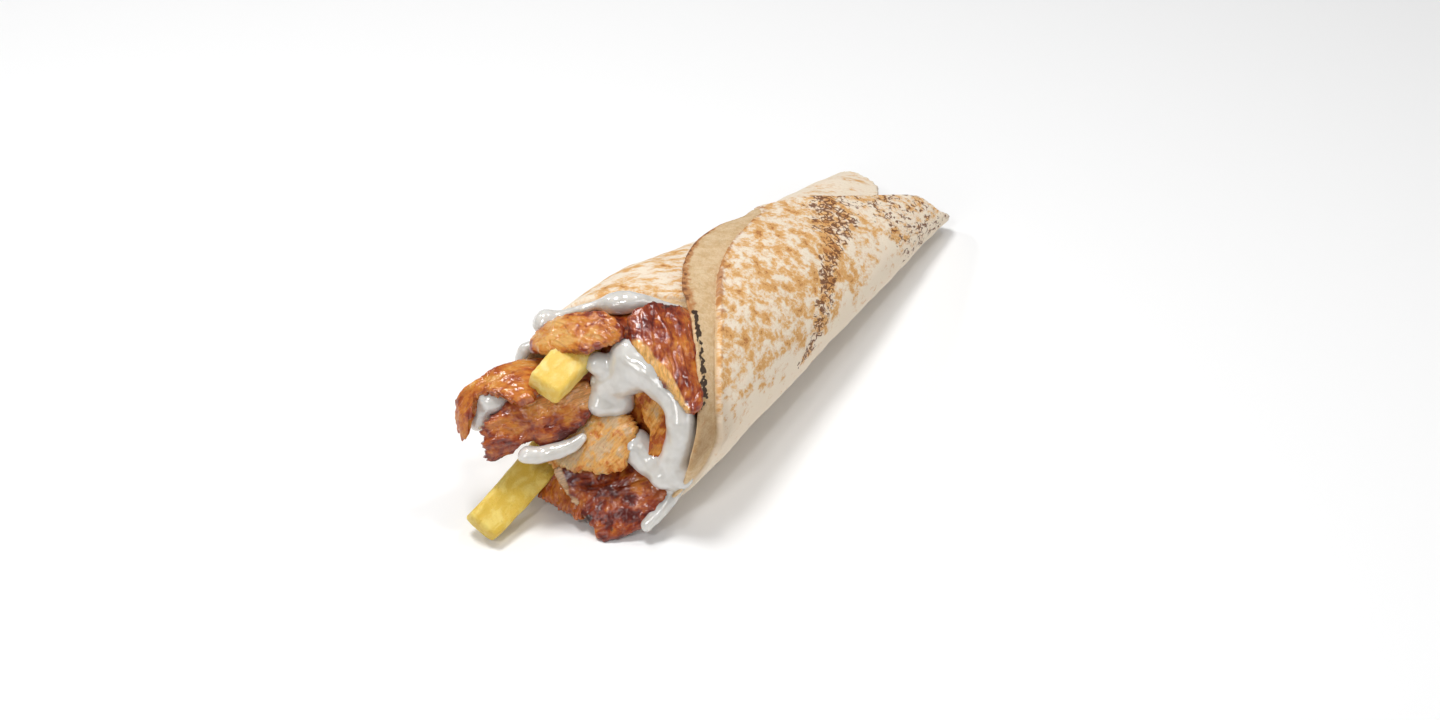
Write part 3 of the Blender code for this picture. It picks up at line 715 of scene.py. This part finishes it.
SLICES = {
    "slice_top_left": dict(
        outline=((-10, -12.5), (-11.5, -6), (-8.5, -0.5), (-3.5, 5), (1.5, 9.5), (7, 11.5),
                 (11.5, 10.5), (12, 6.5), (11, 3.5), (8.5, -1), (3, -6), (-2, -10)),
        at=(2.6, 13.6, 57.5), facing=(-0.50, 0.20, 0.84), thickness=3.6, curve=(1 / 26, 1 / 60),
        tones=(MAHOGANY, ORANGE, AMBER, HONEY, HONEY), fibre=20, ragged=0.9),
    "slice_top_right": dict(
        outline=((-7.5, 9), (-3, 15), (6, 14), (15, 9), (10, 0), (5, -9), (-0.5, -19.5),
                 (-4.5, -19), (-6, -12), (-7.5, -3), (-8, 4)),
        at=(14, -14, 55.6), facing=(-0.15, -0.45, 0.88), thickness=5.0, curve=(1 / 26, 0.0),
        tones=DARK_GLAZE, pale=(0.78, 0.42, 0.12), fibre=62, sizes=(7.0, 1.0), streaks=0.4),
    "slice_far_left": dict(
        middle=(-0.5, -3),
        outline=((1, 18), (0, 10), (-1, 3.5), (-2.5, -2), (-3.5, -6), (-4.5, -11.5),
                 (-2, -15.5), (2.5, -15.5), (3.5, -12.5), (2, -8.5), (2.5, -4.5), (8, -1.5),
                 (15, 2), (12, 12), (4, 19)),
        at=(-16, 30, 45), facing=(-0.35, 0.10, 0.93), thickness=3.0, curve=(1 / 60, 1 / 14),
        tones=(MAHOGANY, RUSSET, ORANGE, AMBER, HONEY), fibre=70, sizes=(6.0, 1.1), ragged=1.5,
        crags=0.9, fringe=1.5, streaks=0.3),
    "slice_front": dict(
        outline=((-6, 8.5), (-10.5, 5.5), (-15, 2), (-16, -4), (-14.5, -9.5), (-7.5, -7.5),
                 (-3, -4.5), (4, -6), (10, -4), (15.5, 0.5), (18, 8), (16, 12), (7, 9)),
        at=(-16, 13, 33), facing=(-0.66, -0.60, 0.45), thickness=4.0, curve=(1 / 200, 1 / 26),
        tones=DARK_GLAZE, pale=(0.80, 0.38, 0.13), fibre=10, ragged=1.2, crags=0.8, fringe=0.8),
    "slice_inner_right": dict(
        outline=((-5, 9), (-1, 6.5), (3.5, 4), (7, 1), (8, -3.5), (9.5, -7), (9.5, -12),
                 (6.5, -14), (3, -13.5), (3.5, -9), (1, -4), (-1, 1), (-3.5, 4.5)),
        at=(4.4, -11.1, 37.6), facing=(-0.80, -0.30, 0.50), thickness=3.0, curve=(0.0, 0.0),
        tones=(RUSSET, AMBER, HONEY, BEIGE), fibre=70, ragged=0.7, coat=0.25, gap_shade=0.4),
    "slice_middle": dict(
        outline=((-13, -9), (-7.5, -10), (0, -8.5), (9, -6.5), (11.5, -2), (11, 9), (3.5, 12),
                 (-4.5, 7.5), (-11, -2.5)),
        at=(-7, 0, 27), facing=(-0.72, -0.10, 0.69), thickness=4.0, curve=(1 / 60, 1 / 60),
        tones=(ORANGE, HONEY, BEIGE, BEIGE), pale=(0.66, 0.46, 0.25), fibre=65, sizes=(5.0, 0.6),
        ragged=1.0, coat=0.2, gap_shade=0.4, fringe=0.8),
    "slice_bottom": dict(
        outline=((-15.5, 7), (-10, 10), (1, 11), (12, 10.5), (19.5, 4.5), (17.5, -3),
                 (12, -8.5), (2.5, -13.5), (-2, -10.5), (-6, -5.5), (-11, 0)),
        at=(-9.6, -5.4, 11), facing=(-0.62, -0.30, 0.72), thickness=5.0, curve=(-1 / 60, 1 / 60),
        tones=(MAROON, MAROON, MAHOGANY, RUSSET, ORANGE), pale=(0.66, 0.42, 0.23), fibre=25,
        coat=0.7),
    "slice_bottom_left": dict(
        outline=((-14, 2.5), (-10, -1), (-5, -3.5), (5, -4), (13.5, -3.5), (13.5, 2.5), (5, 4.5),
                 (-3.5, 6.5)),
        at=(-13, 12, 8), facing=(-0.80, 0.10, 0.59), thickness=3.5, curve=(0.0, 1 / 60),
        tones=(MAHOGANY, RUSSET, ORANGE, AMBER), fibre=100, sizes=(4.0, 0.8), ragged=1.3,
        crags=1.0, streaks=0.5, fringe=1.6),
}
SLICE_SIDES = 210
CURVE_STEPS = 12
FACE_RINGS = 30
RIM_RINGS = 7
BACK_RINGS = 8
EDGE_THINNING = 0.50
FLAT_SHARE = 0.965
FRINGE_WIDTH = 1.5
RIM_WIDTH = 1.3
SHARP_ANGLE = 60.0

# How high each kind of relief on a slice's faces stands.
RIDGES = 0.14
FINE_RIDGES = 0.12
CREASES = 0.45
CRUMBS = 0.22
FOLDS = 1.4
FLAKES = 0.5
RELIEF_MIDDLE = 0.25
BACK_RELIEF = -0.5

# Where a slice is pale flesh, burnt, or lighter or darker: a middle, two half-widths and a
# strength.
PALE_SPOTS = {
    "slice_top_right": (((-5.5, -12), (1.6, 14), 0.75), ((-7.6, 2), (1.8, 8), 0.7)),
    "slice_front": (((6, 9.5), (13, 5), 0.9), ((16, 5), (4, 5), 0.4)),
    "slice_middle": (((-4, -9), (10, 3), 0.5), ((-8, -2), (6, 6), 0.3)),
    "slice_bottom": (((-14.5, 6), (2.2, 4), 0.9), ((-12, 0.5), (2.2, 4), 0.9),
        ((-8, -4.5), (2.2, 3.5), 0.9), ((-4.5, -8.5), (2, 3), 0.6)),
}
BURNT_SPOTS = {
    "slice_top_right": (((8, 12), (7, 2.5), 0.44), ((12, 4), (1.8, 7), 0.42),
        ((-2, 12), (4, 3), 0.30)),
    "slice_bottom": (((-3, -7), (2.5, 2), 0.55), ((3.5, -9.5), (2, 2), 0.5),
        ((6, -2), (5, 3), 0.25)),
    "slice_front": (((11, -1.5), (3.5, 2), 0.38), ((-9, 3), (4, 1.5), 0.3)),
    "slice_top_left": (((10, 8), (2.5, 3), 0.35),),
    "slice_bottom_left": (((4, 0), (8, 1.5), 0.3),),
}
TONE_SPOTS = {
    "slice_far_left": (((3, 4), (9, 12), 0.04),),
    "slice_top_right": (((8, -8), (6, 10), 0.07), ((2, 11), (9, 5), -0.08)),
    "slice_front": (((6, 8), (14, 5), 0.20), ((10, -2.5), (7, 3), -0.12)),
    "slice_bottom": (((2, -11), (8, 3.5), 0.12), ((3, 6.5), (11, 4.5), 0.10),
        ((7, -4), (9, 4), -0.05)),
    "slice_top_left": (((10.5, 5), (2.5, 6), -0.14), ((-3, -6), (9, 5), 0.09),
        ((3, 9), (7, 3), -0.06)),
    # The spot at (7, 1) darkens slice_inner_right's right side as painted shade. The spot at (6, -12) is
    # its redder lower part.
    "slice_inner_right": (((6, -12), (5, 5), -0.13), ((7, 1), (2, 6), -0.10)),
}


def spread_evenly(ring, samples):
    """Points at equal steps along a line through many points."""
    lengths = np.concatenate([[0.0], np.cumsum(np.linalg.norm(np.diff(ring, axis=0), axis=1))])
    wanted = np.linspace(0.0, lengths[-1], samples, endpoint=False)
    return np.column_stack([np.interp(wanted, lengths, ring[:, axis]) for axis in (0, 1)])


def closed_curve(points, samples):
    """Points evenly spread along a smooth closed curve through a short outline."""
    outline = np.array(points, float)
    before, start, end, after = (np.roll(outline, turn, axis=0)[:, None] for turn in (1, 0, -1, -2))
    share = np.linspace(0.0, 1.0, CURVE_STEPS, endpoint=False)[:, None]
    fine = 0.5 * (2.0 * start + (end - before) * share
                  + (2.0 * before - 5.0 * start + 4.0 * end - after) * share ** 2
                  + (3.0 * start - before - 3.0 * end + after) * share ** 3).reshape(-1, 2)
    return spread_evenly(np.concatenate([fine, fine[:1]]), samples)


def facing_matrix(at, facing):
    """Local X runs level, local Y up the face and local Z out of it."""
    out = Vector(facing).normalized()
    level = Vector((0.0, 0.0, 1.0)).cross(out).normalized()
    rise = out.cross(level)
    turn = Matrix((level, rise, out)).transposed().to_4x4()
    return Matrix.Translation(Vector(at) * MM) @ turn


def ragged_outline(edge, depth, fringe, seed, turn):
    """Tear a smooth outline in and out, into strings where the fibres end."""
    ahead = np.roll(edge, -1, axis=0) - np.roll(edge, 1, axis=0)
    out = np.stack([ahead[:, 1], -ahead[:, 0]], axis=-1)
    out /= np.linalg.norm(out, axis=1)[:, None]
    ends = np.abs(out @ np.array([math.cos(turn), math.sin(turn)]))
    flat = np.column_stack([edge, np.full(len(edge), seed)])
    tear = ripple(flat, 2.4, seed) + 0.9 * np.abs(ripple(flat, 0.8, seed + 3.0)) - 0.3
    across = -edge[:, 0] * math.sin(turn) + edge[:, 1] * math.cos(turn) + 0.6 * ripple(flat, 1.8, seed)
    strings = np.abs(np.sin(math.pi * across / FRINGE_WIDTH)) - 0.6
    return edge + out * (depth * tear * (0.45 + 0.75 * ends) + fringe * strings * ends ** 2)[:, None]


def fibre_relief(u, v, layer, turn, seed):
    """Ridges along the fibres, crossed by creases, from about -1 to 1."""
    flat = np.column_stack([u, v, np.full(len(u), seed + layer)])
    warp = 1.2 * ripple(flat, 6.0, seed)
    along = (u * math.cos(turn) + v * math.sin(turn)) / 4.0
    across = -u * math.sin(turn) + v * math.cos(turn) + warp
    stretched = np.column_stack([along, across, np.full(len(u), seed + 4.0 * layer)])
    ridges = 1.0 - 2.6 * np.abs(ripple(stretched, 1.7))
    fine = ripple(stretched, 0.7, 9.0)
    creases = 1.0 - 2.6 * np.abs(ripple(flat, 5.0, 2.0))
    crumbs = ripple(flat, 1.1, 5.0)
    folds = ripple(flat, 8.0, 13.0)
    flakes = smooth((ripple(stretched, 2.6, 21.0) + 0.06) / 0.14)
    return (RIDGES * ridges + FINE_RIDGES * fine + CREASES * creases + CRUMBS * crumbs
            + FOLDS * folds + FLAKES * flakes - RELIEF_MIDDLE)


def slice_profile():
    """Each ring's share of the outline, and its place from face (0) to back (1)."""
    rings = [(share, 0.0) for share in FLAT_SHARE * np.linspace(0.0, 1.0, FACE_RINGS) ** 0.8]
    for turn in np.linspace(0.0, math.pi, RIM_RINGS + 2)[1:-1]:
        rings.append((FLAT_SHARE + (1.0 - FLAT_SHARE) * math.sin(turn), 0.5 - 0.5 * math.cos(turn)))
    rings += [(share, 1.0) for share in FLAT_SHARE * np.linspace(1.0, 0.0, BACK_RINGS) ** 0.8]
    return rings


def make_slice(name, outline, at, facing, thickness, curve, fibre, middle=None, ragged=0.8,
               crags=0.6, fringe=0.3, **look):
    """A slice from its outline: curved, torn and thin at its edge, with fibres on its faces."""
    finish = meat_finish(name, fibre=fibre, **look)
    seed = float(sum(map(ord, name)) % 97)
    turn = math.radians(fibre)
    edge = closed_curve(outline, SLICE_SIDES)
    middle = np.array(edge.mean(axis=0) if middle is None else middle)
    torn = ragged_outline(edge, ragged, fringe, seed, turn)
    loops = []
    for share, depth in slice_profile():
        here = middle + (edge - middle) * share + (torn - edge) * share ** 6
        here = here if share else here[:1]
        u, v = here[:, 0], here[:, 1]
        height = crags * fibre_relief(u, v, depth, turn, seed) * (1.0 if depth < 0.5 else BACK_RELIEF)
        thin = thickness * (1.0 - EDGE_THINNING * share ** 5)
        w = -0.5 * (curve[0] * u * u + curve[1] * v * v) - 0.5 * thickness + (0.5 - depth) * thin
        w += height
        loops.append(np.column_stack([u, v, w]))
    piece = loft(name + "_meat", loops, finish)
    piece.matrix_world = facing_matrix(at, facing)
    return piece


def spot_sum(places, spots):
    """Some soft spots, added up at each place."""
    total = np.zeros(len(places))
    for middle, widths, strength in spots:
        there = hump(places[:, 0], middle[0], widths[0]) * hump(places[:, 1], middle[1], widths[1])
        total += strength * there
    return total


def paint_slice(piece, name, places):
    """Mark pale, burnt, light and dark places, and the rim, from each point's place on the slice."""
    for mark, spots in (("pale", PALE_SPOTS), ("burnt", BURNT_SPOTS), ("tone", TONE_SPOTS)):
        add_mark(piece, mark, spot_sum(places, spots.get(name, ())))
    rim = np.zeros(len(places))
    if name in SLICES:
        edge = closed_curve(SLICES[name]["outline"], SLICE_SIDES)
        away = np.array([np.hypot(*(edge - place[:2]).T).min() for place in places])
        rim = hump(away, 0.0, RIM_WIDTH)
    add_mark(piece, "rim", rim)


# The fries.

FRIES = {
    "fry_upper": dict(
        start=(12, 13.2, 50.2), end=(-12.6, 12.2, 45.6), facing=(-0.25, -0.35, 0.88), width=12.0,
        thickness=9.6, tones=((0.80, 0.54, 0.09), (0.86, 0.68, 0.24))),
    # The lower fry's tones are darker than the upper fry's as painted shade: it is the same potato, lying
    # lower in the mouth.
    "fry_lower": dict(
        start=(4, 17.6, 15.8), end=(-36.5, 19.6, 5.2), facing=(-0.25, -0.55, 0.80), width=12.0,
        thickness=8.5, tones=((0.66, 0.44, 0.05), (0.78, 0.60, 0.15))),
}
FRY_ROUND = 1.5
FRY_TAPER = 0.12
FRY_BOW = 0.6
FRY_SIDES = 72
FRY_STATIONS = 70


def rounded_rectangle(width, height, radius, samples):
    """Points evenly spread round a rectangle with round corners."""
    corners = []
    for turn, (right, up) in enumerate(((1, 1), (-1, 1), (-1, -1), (1, -1))):
        middle = np.array([(width / 2 - radius) * right, (height / 2 - radius) * up])
        for share in np.linspace(0.0, 1.0, 7):
            angle = math.radians(90.0 * (turn + share))
            corners.append(middle + radius * np.array([math.cos(angle), math.sin(angle)]))
    return spread_evenly(np.array(corners + corners[:1]), samples)


def make_fry(name, start, end, facing, width, thickness, tones):
    """A square-cut fry, slightly tapered and bowed, with soft edges and an uneven skin."""
    start, end = Vector(start), Vector(end)
    length = (end - start).length
    along = (end - start).normalized()
    across = Vector(facing).cross(along).normalized()
    turn = Matrix((along, across, along.cross(across))).transposed().to_4x4()
    loops = []
    for share in np.linspace(0.0, 1.0, FRY_STATIONS):
        end_gap = min(share, 1.0 - share) * length
        pinch = math.sqrt(max(1.0 - (1.0 - min(end_gap / FRY_ROUND, 1.0)) ** 2, 0.0))
        size = 1.0 - FRY_TAPER * share
        ring = rounded_rectangle(width * size, thickness * size, FRY_ROUND, FRY_SIDES)
        ring -= np.sign(ring) * np.minimum(FRY_ROUND * (1.0 - pinch), np.abs(ring))
        x = (share - 0.5) * length
        places = np.column_stack([np.full(len(ring), x), ring])
        ring = ring * (1.0 + ripples(places, ((0.035, 5.0, length), (0.018, 1.6, length + 2.0))))[:, None]
        ring[:, 0] += FRY_BOW * math.sin(math.pi * share)
        loops.append(np.column_stack([np.full(len(ring), x), ring]))
    loops = [loops[0].mean(axis=0)[None, :]] + loops + [loops[-1].mean(axis=0)[None, :]]
    piece = loft(name + "_potato", loops, fry_finish(name, *tones))
    piece.matrix_world = Matrix.Translation((start + end) * 0.5 * MM) @ turn
    return piece


# The sauce: blobs at x, y and z with a radius.

SAUCES = {
    "sauce_middle": (
        (3.2, 4.4, 48.3, 3.4), (8.9, -3, 51, 5.5), (9.4, -10, 48, 6), (9.5, -16.5, 44.5, 5.4),
        (8, -21.5, 42, 4), (7, -2.5, 44, 6), (4.3, 2.6, 40.6, 4.4), (5.3, -1.1, 34.7, 5),
        (0.8, 2.5, 35.4, 3.6), (6, -23.5, 38, 4.6), (5.3, -24, 32, 4.8), (3.4, -23.4, 25.7, 4.7),
        (0.4, -21, 20.1, 4.7), (1.5, -9.8, 24.5, 5.2), (1.5, -15, 21, 4.4), (1.5, -26.5, 20.5, 3.4),
        (2.2, -24.8, 17.3, 2.9), (3, -23.1, 14.6, 2.6), (1, -23.3, 12.6, 2.4), (-1.2, -23, 10.7, 2.3),
        (-3.5, -22.4, 8.9, 2.2), (-5.8, -21.4, 7.2, 2.1), (-8, -20.3, 5.6, 1.9)),
    "sauce_left": (
        (-17.4, 27.8, 37.8, 4.6), (-14.2, 25.9, 35.6, 3.6), (-19.2, 30, 32.4, 3.6),
        (-20.8, 31.3, 29.4, 2.4)),
}
SAUCE_RUNS = {
    "sauce_front": (
        (-20.8, 13.4, 25.8, 2.7), (-17.8, 10.2, 25.2, 2.5), (-14.4, 6.7, 26, 2.4),
        (-11, 3.4, 27.4, 2), (-8, 1.9, 29.2, 1.3)),
}
# The sauce on the rim, by the angle round the roll: its depth in the rim and its radius.
RIM_SAUCE = {
    -83: (0.6, 1.4), -76: (0.8, 2.0), -71: (2.4, 1.1), -65: (3.0, 0.9), -59: (1.8, 2.0),
    -54: (1.0, 3.4), -49: (2.4, 1.8), -43: (3.2, 1.3), -36: (3.8, 1.2), -31: (4.0, 1.3),
    -26: (4.4, 2.0), -21: (4.0, 3.1), -14: (3.6, 3.5), -8: (3.4, 2.7), -2: (4.0, 1.8),
    5: (4.6, 1.3), 12: (4.8, 1.0)}
RIM_AHEAD = 1.4
RUN_STEP = 0.6
RUN_THINNING = 0.87
SAUCE_GRAIN = 0.5
SAUCE_WAVES = ((0.32, 3.6, 0.0), (0.05, 1.5, 4.0))
BLOB_REACH = 1.0 / 0.575


def rim_run():
    """The path of the sauce along the bread's upper rim, just ahead of its edge."""
    path = []
    for angle, (depth, radius) in RIM_SAUCE.items():
        x = follow(INNER_PLY_EDGE, angle) - RIM_AHEAD * radius
        path.append((*roll_points(x, angle, depth), radius))
    return path


def filled_run(path):
    """Blobs close enough along a path to melt into one even bead."""
    stations = np.array(path, float)
    blobs = [stations[0]]
    for start, end in zip(stations, stations[1:]):
        length = np.linalg.norm(end[:3] - start[:3])
        steps = math.ceil(length / (RUN_STEP * min(start[3], end[3])))
        blobs += [start + (end - start) * (step + 1) / steps for step in range(steps)]
    return [(x, y, z, radius * RUN_THINNING) for x, y, z, radius in blobs]


def make_sauce(name, finish, blobs):
    """Blobs of sauce run together into one smooth mass, with slow waves in its surface."""
    mass = bpy.data.metaballs.new(name)
    mass.resolution = SAUCE_GRAIN
    mass.render_resolution = SAUCE_GRAIN
    for x, y, z, radius in blobs:
        blob = mass.elements.new(type="BALL")
        blob.co = (x, y, z)
        blob.radius = radius * BLOB_REACH
    wet = add_object(name, mass)
    graph = bpy.context.evaluated_depsgraph_get()
    mesh = bpy.data.meshes.new_from_object(wet.evaluated_get(graph))
    bpy.data.objects.remove(wet, do_unlink=True)
    points = np.array([tuple(vert.co) for vert in mesh.vertices])
    normals = np.array([tuple(vert.normal) for vert in mesh.vertices])
    points = points + normals * ripples(points, SAUCE_WAVES)[:, None]
    faces = [tuple(face.vertices) for face in mesh.polygons]
    bpy.data.meshes.remove(mesh)
    return new_piece(name + "_white", points, faces, finish)


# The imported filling.

CORE_SIDES = 150
CORE_RINGS = 90
BULGE_RINGS = 16
BULGE_WAVES = ((1.4, 3.5, 0.0),)


def core_ring(x):
    """The inside of the bread at one place along the roll."""
    angle = 180.0 - 360.0 * np.arange(CORE_SIDES) / CORE_SIDES
    over = window(angle, OVER_END, OVER_END_SPAN, OVER_START, OVER_START_SPAN)
    return roll_points(x, angle, SHEET + CORE_CLEARANCE + (SHEET + TURN_GAP) * over)


def make_core():
    """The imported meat: it follows the inside of the bread and bulges out of the mouth."""
    finish = meat_finish("meat_filling", DARK_GLAZE, sizes=(3.0, 1.2), fibre=30)
    peak = np.array(BULGE_PEAK)
    mouth = core_ring(CORE_START)
    loops = [peak[None, :]]
    for share in np.linspace(1.0, 0.0, BULGE_RINGS + 1)[1:-1]:
        ring = mouth + (peak - mouth) * share
        ring[:, 0] = CORE_START + (peak[0] - CORE_START) * smooth(share) ** 2
        ring[:, 0] += ripples(ring, BULGE_WAVES) * smooth((1.0 - share) * 4.0)
        loops.append(ring)
    for x in np.linspace(CORE_START, CORE_END, CORE_RINGS):
        loops.append(core_ring(x))
    last = loops[-1].mean(axis=0)
    loops.append((last + np.array([CORE_DOME, 0.0, 0.0]))[None, :])
    return loft("meat_filling_packed", loops, finish)


# Fitting the pieces to each other, as in the solids.

FIT_GAP = 0.02


def box_of(piece):
    """A piece's lowest and highest corners."""
    corners = np.array([tuple(piece.matrix_world @ vert.co) for vert in piece.data.vertices])
    return corners.min(axis=0), corners.max(axis=0)


def boxes_meet(first, second):
    """Whether two boxes touch or overlap."""
    return bool(np.all(first[0] <= second[1]) and np.all(second[0] <= first[1]))


def grown_copy(source):
    """A copy in world space that stands out all round by a hair."""
    mesh = source.data.copy()
    mesh.transform(source.matrix_world)
    normals = [vert.normal.copy() for vert in mesh.vertices]
    for vert, normal in zip(mesh.vertices, normals):
        vert.co += normal * FIT_GAP * MM
    return add_object(source.name + "_cutter", mesh)


def largest_piece(bm):
    """Drop every loose scrap and keep the piece with the most faces."""
    waiting = set(bm.faces)
    pieces = []
    while waiting:
        front = {waiting.pop()}
        piece = set(front)
        while front:
            front = {face for old in front for edge in old.edges for face in edge.link_faces} & waiting
            waiting -= front
            piece |= front
        pieces.append(piece)
    keep = max(pieces, key=len)
    loose = [face for face in bm.faces if face not in keep]
    bmesh.ops.delete(bm, geom=loose, context="FACES")
    bmesh.ops.delete(bm, geom=[vert for vert in bm.verts if not vert.link_faces], context="VERTS")


def fit_round(target, cutters):
    """Cut a piece back where its neighbours lie, and keep it clear of the floor."""
    own_box = box_of(target)
    near = [cutter for cutter in cutters if boxes_meet(own_box, box_of(cutter))]
    for cutter in near:
        cut = target.modifiers.new(cutter.name, "BOOLEAN")
        cut.operation = "DIFFERENCE"
        cut.solver = "MANIFOLD"
        cut.object = cutter
    graph = bpy.context.evaluated_depsgraph_get()
    mesh = bpy.data.meshes.new_from_object(target.evaluated_get(graph))
    target.modifiers.clear()
    place = target.matrix_world.copy()
    bm = bmesh.new()
    bm.from_mesh(mesh)
    largest_piece(bm)
    for vert in bm.verts:
        world = place @ vert.co
        if world.z < 0.0:
            vert.co = place.inverted() @ Vector((world.x, world.y, 0.0))
    bm.to_mesh(target.data)
    bm.free()
    bpy.data.meshes.remove(mesh)
    target.data.shade_smooth()
    target.data.set_sharp_from_angle(angle=math.radians(SHARP_ANGLE))


def filling_pieces(sauce):
    """Make the fries, slices and sauces one by one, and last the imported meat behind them."""
    for name, fry in FRIES.items():
        yield name, make_fry(name, **fry)
    for name, shape in SLICES.items():
        yield name, make_slice(name, **shape)
    for name, blobs in SAUCES.items():
        yield name, make_sauce(name, sauce, blobs)
    for name, path in (SAUCE_RUNS | {"sauce_rim": rim_run()}).items():
        yield name, make_sauce(name, sauce, filled_run(path))
    yield "meat_filling", make_core()


def make_food():
    """Make each piece, fit it to those before it, and hide the solid it stands for."""
    sauce = sauce_finish()
    made = {"bread": make_bread(bread_finish())}
    cutters = [grown_copy(made["bread"])]
    for name, piece in filling_pieces(sauce):
        fit_round(piece, cutters)
        cutters.append(grown_copy(piece))
        places = np.array([tuple(vert.co) for vert in piece.data.vertices]) / MM
        add_mark(piece, "place", places)
        if name.startswith("slice") or name == "meat_filling":
            paint_slice(piece, name, places)
        made[name] = piece
    for cutter in cutters:
        bpy.data.objects.remove(cutter, do_unlink=True)
    for name, piece in made.items():
        into_frame(piece)
        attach(piece, "root")
        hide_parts(name)
        slot_of(name)


def slot_of(node):
    """The name of a CAD node's material in the record."""
    for part in frame["record"]["subparts"]:
        if part["node"] == node:
            return part["material_slot"]
    return None


# The studio.


def make_camera():
    """The camera at the photograph's angle."""
    azimuth, elevation = math.radians(CAMERA_AZIMUTH), math.radians(CAMERA_ELEVATION)
    back = Vector((math.sin(azimuth) * math.cos(elevation), -math.cos(azimuth) * math.cos(elevation),
                   math.sin(elevation)))
    right = Vector((math.cos(azimuth), math.sin(azimuth), 0.0))
    target = (Vector(CAMERA_TARGET) - Vector(ORIGIN)) * MM
    data = bpy.data.cameras.new("camera")
    data.lens = CAMERA_LENS
    data.sensor_width = CAMERA_SENSOR
    data.clip_start = 0.01
    camera = add_object("camera", data)
    camera.matrix_world = Matrix((right, back.cross(right), back)).transposed().to_4x4()
    camera.matrix_world.translation = target + back * CAMERA_DISTANCE * MM
    bpy.context.scene.camera = camera


def make_lamp(name, place, size, power):
    """A square soft lamp that points at the food."""
    data = bpy.data.lights.new(name, "AREA")
    data.size = size
    data.energy = power
    lamp = add_object(name, data)
    lamp.location = place
    lamp.rotation_euler = (Vector(LAMP_AIM) - Vector(place)).to_track_quat("-Z", "Y").to_euler()


def make_floor():
    """A pale floor that reaches past the camera's view."""
    shader = Shader("floor", Roughness=0.7)
    shader.drive("Base Color", (FLOOR_SHADE,) * 3)
    corners = [(x * FLOOR_REACH, y * FLOOR_REACH, 0.0) for x, y in ((-1, -1), (1, -1), (1, 1), (-1, 1))]
    floor = new_piece("floor", corners, [(0, 1, 2, 3)], shader.material)
    floor.location.z = -FLOOR_DROP * MM


def make_studio():
    """A white sky, soft lamps and the floor."""
    world = bpy.data.worlds.new("studio")
    world.use_nodes = True
    sky = world.node_tree.nodes["Background"]
    sky.inputs["Color"].default_value = (1.0, 1.0, 1.0, 1.0)
    sky.inputs["Strength"].default_value = SKY_STRENGTH
    bpy.context.scene.world = world
    for name, (place, size, power) in LAMPS.items():
        make_lamp(name, place, size, power)
    make_floor()
    bpy.context.scene.view_settings.view_transform = "Standard"


make_camera()
make_studio()
make_food()
